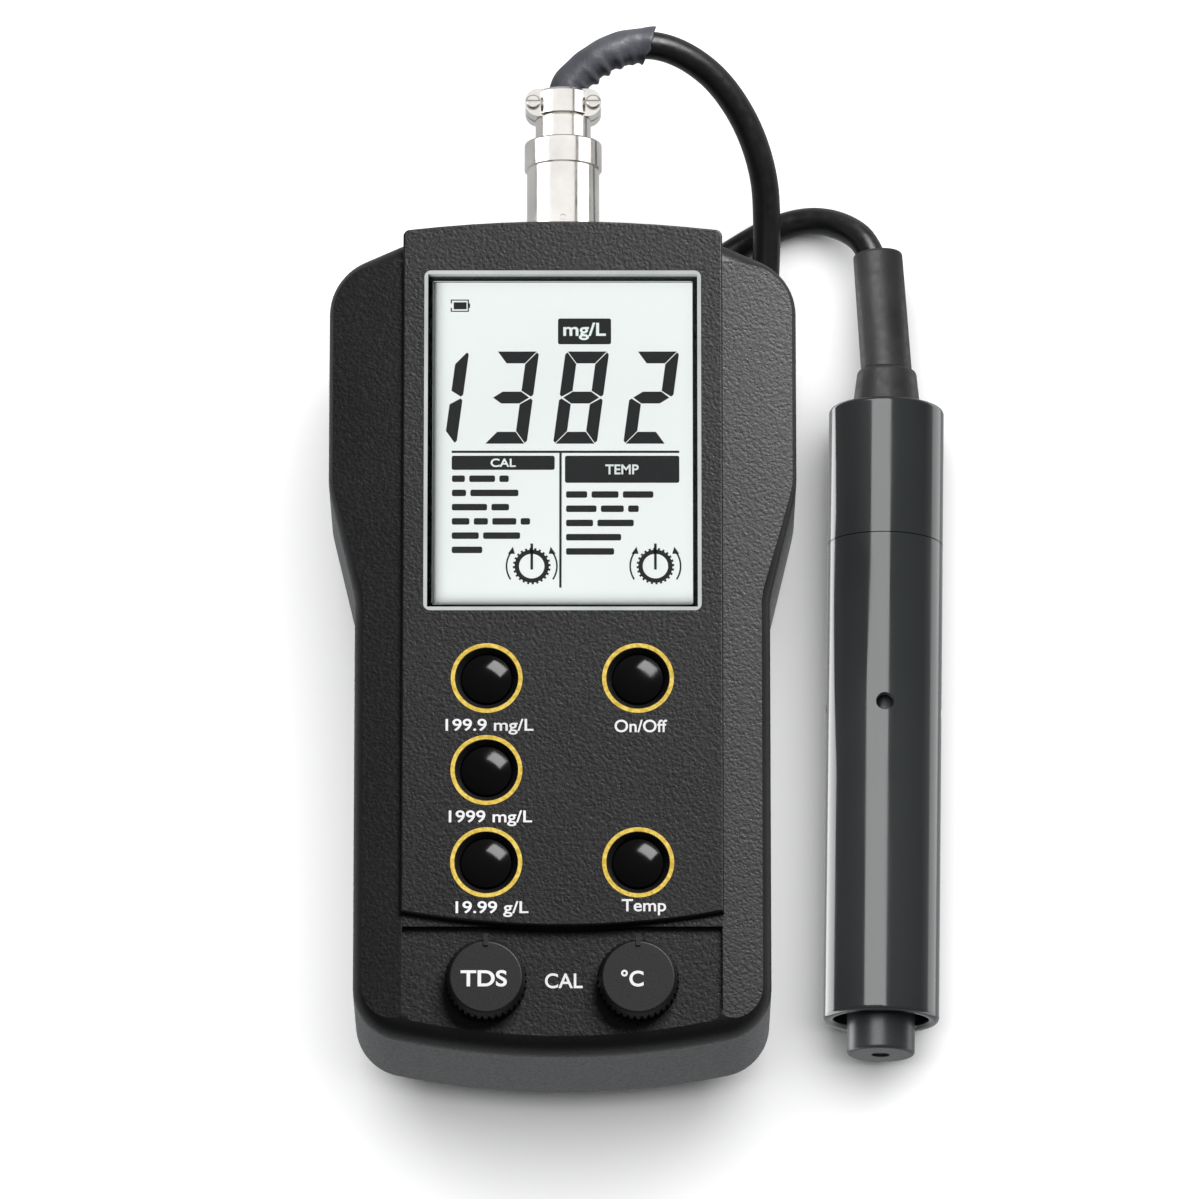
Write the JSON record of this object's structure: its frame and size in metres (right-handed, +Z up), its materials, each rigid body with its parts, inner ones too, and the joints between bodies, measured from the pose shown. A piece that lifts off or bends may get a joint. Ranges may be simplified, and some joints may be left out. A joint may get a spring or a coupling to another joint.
{
  "type": "total dissolved solids meter",
  "caption": "Handheld dissolved solids meter with display, push buttons and calibration knobs, and a corded probe on a push-pull connector.",
  "frame": {"origin": "on the table, under the middle of the meter and probe together", "axes": "+Z up out of the display, +Y along the meter towards its connector, +X from the meter to the probe"},
  "size_m": [0.1062, 0.1865, 0.0487],
  "materials": {
    "housing": "fine leather grain, satin",
    "cover": "fine leather grain, satin",
    "window": "clear, polished",
    "seal": "matt",
    "display": "pale grey liquid crystal",
    "frame": "white moulding",
    "contact_rubber": "soft, matt",
    "board": "green solder mask",
    "chips": "black epoxy",
    "switches": "black moulding",
    "pots": "blue moulding",
    "steel": "plain zinc",
    "ring": "yellow",
    "button": "polished black",
    "knob": "satin black",
    "shaft": "turned",
    "battery": "printed steel case, bare",
    "snap": "black",
    "wire": "insulated wire",
    "plated": "matt nickel over brass",
    "insert": "black insulator",
    "contact": "gold flash",
    "cord": "smooth sheath",
    "shrink": "dark grey shrink tube",
    "boot": "dark grey, satin",
    "tie": "black strap",
    "probe": "dark grey pipe plastic",
    "core": "cast black epoxy",
    "electrode": "stainless"
  },
  "bodies": {
    "meter": {"front_shell": "housing", "rear_shell": "housing", "display_lens": "window", "lens_gasket": "seal", "lcd_glass": "display", "lcd_frame": "frame", "zebra_strips": "contact_rubber", "main_board": "board", "board_chips": "chips", "tactile_switches": "switches", "potentiometer_bodies": "pots", "board_screws": "steel", "button_rings": "ring", "battery": "battery", "battery_snap": "snap", "battery_leads": "wire", "housing_screws": "steel", "socket_shell": "plated", "socket_nut": "plated", "socket_insert": "insert", "socket_contacts": "contact", "socket_leads": "wire"},
    "cover": {"battery_cover": "cover"},
    "press_range_low": {"button_range_low": "button", "plunger_range_low": "switches"},
    "press_range_mid": {"button_range_mid": "button", "plunger_range_mid": "switches"},
    "press_range_high": {"button_range_high": "button", "plunger_range_high": "switches"},
    "press_power": {"button_power": "button", "plunger_power": "switches"},
    "press_temperature": {"button_temperature": "button", "plunger_temperature": "switches"},
    "turn_solids": {"knob_solids": "knob", "shaft_solids": "shaft"},
    "turn_temperature": {"knob_temperature": "knob", "shaft_temperature": "shaft"},
    "probe_set": {"plug_shell": "plated", "plug_insert": "insert", "plug_pins": "contact", "cable_clamp": "plated", "clamp_screws": "plated", "shrink_sleeve": "shrink", "cord_plug_run": "cord", "cord_coil": "cord", "coil_tie": "tie", "cord_probe_run": "cord", "cord_boot": "boot", "boot_collar": "boot", "probe_handle": "probe", "handle_o_ring": "seal", "electrode_core": "core", "electrode_rings": "electrode", "probe_tip": "core"},
    "latch": {"latch_sleeve": "plated"},
    "sleeve": {"probe_sleeve": "probe"}
  },
  "joints": [
    {"name": "battery_cover_slide", "type": "slide", "parent": "meter", "child": "cover", "axis": [0, -1, 0], "range_m": [0, 0.058]},
    {"name": "range_low_press", "type": "slide", "parent": "meter", "child": "press_range_low", "axis": [0, 0, -1], "range_m": [0, 0.0008], "stiffness_N_per_m": 300},
    {"name": "range_mid_press", "type": "slide", "parent": "meter", "child": "press_range_mid", "axis": [0, 0, -1], "range_m": [0, 0.0008], "stiffness_N_per_m": 300},
    {"name": "range_high_press", "type": "slide", "parent": "meter", "child": "press_range_high", "axis": [0, 0, -1], "range_m": [0, 0.0008], "stiffness_N_per_m": 300},
    {"name": "power_press", "type": "slide", "parent": "meter", "child": "press_power", "axis": [0, 0, -1], "range_m": [0, 0.0008], "stiffness_N_per_m": 300},
    {"name": "temperature_press", "type": "slide", "parent": "meter", "child": "press_temperature", "axis": [0, 0, -1], "range_m": [0, 0.0008], "stiffness_N_per_m": 300},
    {"name": "solids_turn", "type": "hinge", "parent": "meter", "child": "turn_solids", "pos_m": [-0.02598, -0.0646, 0.046], "axis": [0, 0, 1], "range_deg": [-140, 140]},
    {"name": "temperature_turn", "type": "hinge", "parent": "meter", "child": "turn_temperature", "pos_m": [-0.00028, -0.0646, 0.046], "axis": [0, 0, 1], "range_deg": [-140, 140]},
    {"name": "plug_withdraw", "type": "slide", "parent": "meter", "child": "probe_set", "axis": [0, 1, 0], "range_m": [0, 0.008]},
    {"name": "latch_release", "type": "slide", "parent": "probe_set", "child": "latch", "axis": [0, 1, 0], "range_m": [0, 0.002], "stiffness_N_per_m": 800},
    {"name": "probe_sleeve_slide", "type": "slide", "parent": "probe_set", "child": "sleeve", "axis": [-0.015, -0.9999, 0], "range_m": [0, 0.095]}
  ]
}
